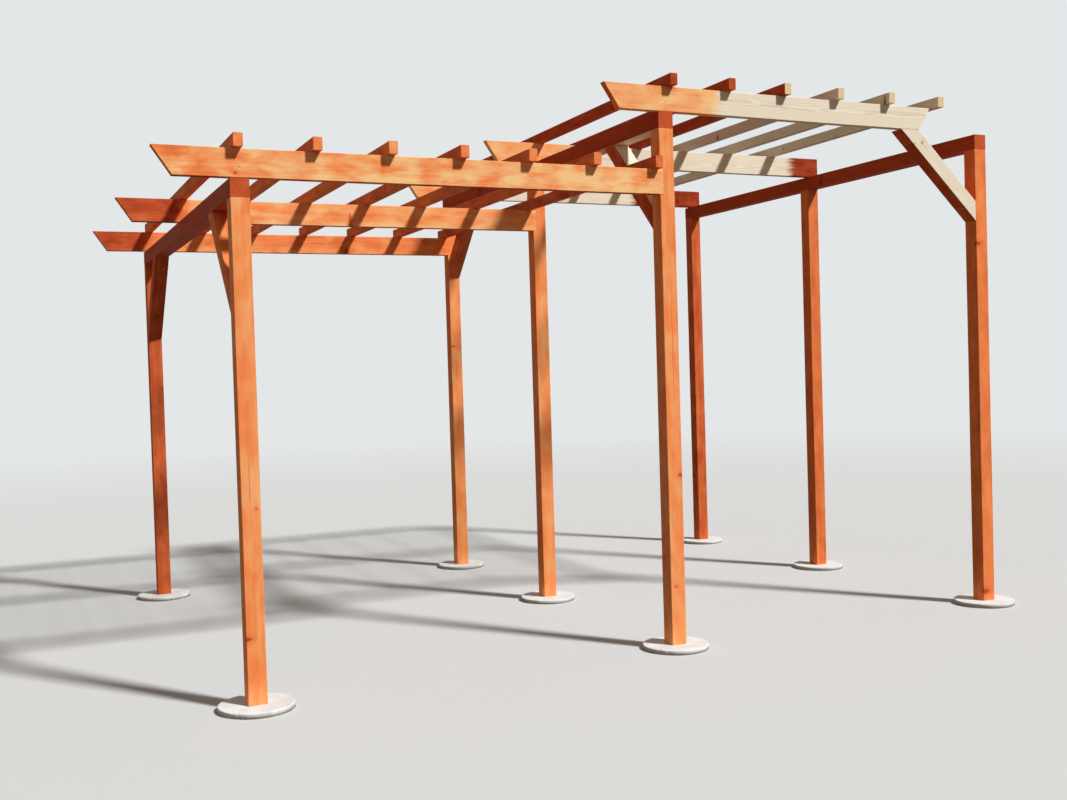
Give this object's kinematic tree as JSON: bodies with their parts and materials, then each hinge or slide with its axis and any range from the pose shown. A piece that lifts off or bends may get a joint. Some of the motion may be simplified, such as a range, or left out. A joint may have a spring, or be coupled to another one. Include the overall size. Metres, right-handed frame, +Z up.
{
  "type": "wooden pergola",
  "caption": "Open timber garden pergola in two heights, a low slatted roof on the left stepping up to a higher one on the right, on posts with round footings.",
  "frame": {"origin": "on the ground, below the middle of the front left post, at the centre of its footing", "axes": "+X to the right along the long beams, +Y from the front to the rear, +Z up"},
  "size_m": [5.655, 4.005, 3.45],
  "materials": {
    "stained_pine": "translucent orange red wood stain, satin",
    "part_stained_pine": "pine with stain over a part of its length, the rest bare",
    "bare_pine": "planed bare pine",
    "concrete": "pale cast concrete, rough"
  },
  "bodies": {
    "root": {"post_left_front": "stained_pine", "pad_left_front": "concrete", "post_left_rear": "stained_pine", "pad_left_rear": "concrete", "post_middle_front": "stained_pine", "pad_middle_front": "concrete", "post_middle_centre": "stained_pine", "pad_middle_centre": "concrete", "post_middle_rear": "stained_pine", "pad_middle_rear": "concrete", "post_right_front": "stained_pine", "pad_right_front": "concrete", "post_right_centre": "stained_pine", "pad_right_centre": "concrete", "post_right_rear": "stained_pine", "pad_right_rear": "concrete", "header_left": "stained_pine", "header_middle": "stained_pine", "header_right": "stained_pine", "lower_beam_front": "stained_pine", "upper_beam_front": "part_stained_pine", "lower_beam_centre": "stained_pine", "upper_beam_centre": "part_stained_pine", "lower_beam_rear": "stained_pine", "upper_beam_rear": "part_stained_pine", "lower_rafter_1": "stained_pine", "lower_rafter_2": "stained_pine", "lower_rafter_3": "stained_pine", "lower_rafter_4": "stained_pine", "lower_rafter_5": "stained_pine", "lower_rafter_6": "stained_pine", "lower_rafter_7": "stained_pine", "upper_rafter_1": "stained_pine", "upper_rafter_2": "stained_pine", "upper_rafter_3": "part_stained_pine", "upper_rafter_4": "bare_pine", "upper_rafter_5": "bare_pine", "upper_rafter_6": "bare_pine", "brace_left_front": "stained_pine", "brace_left_rear": "stained_pine", "brace_middle_rear": "stained_pine", "brace_middle_front": "part_stained_pine", "brace_right_front": "part_stained_pine"}
  },
  "joints": []
}
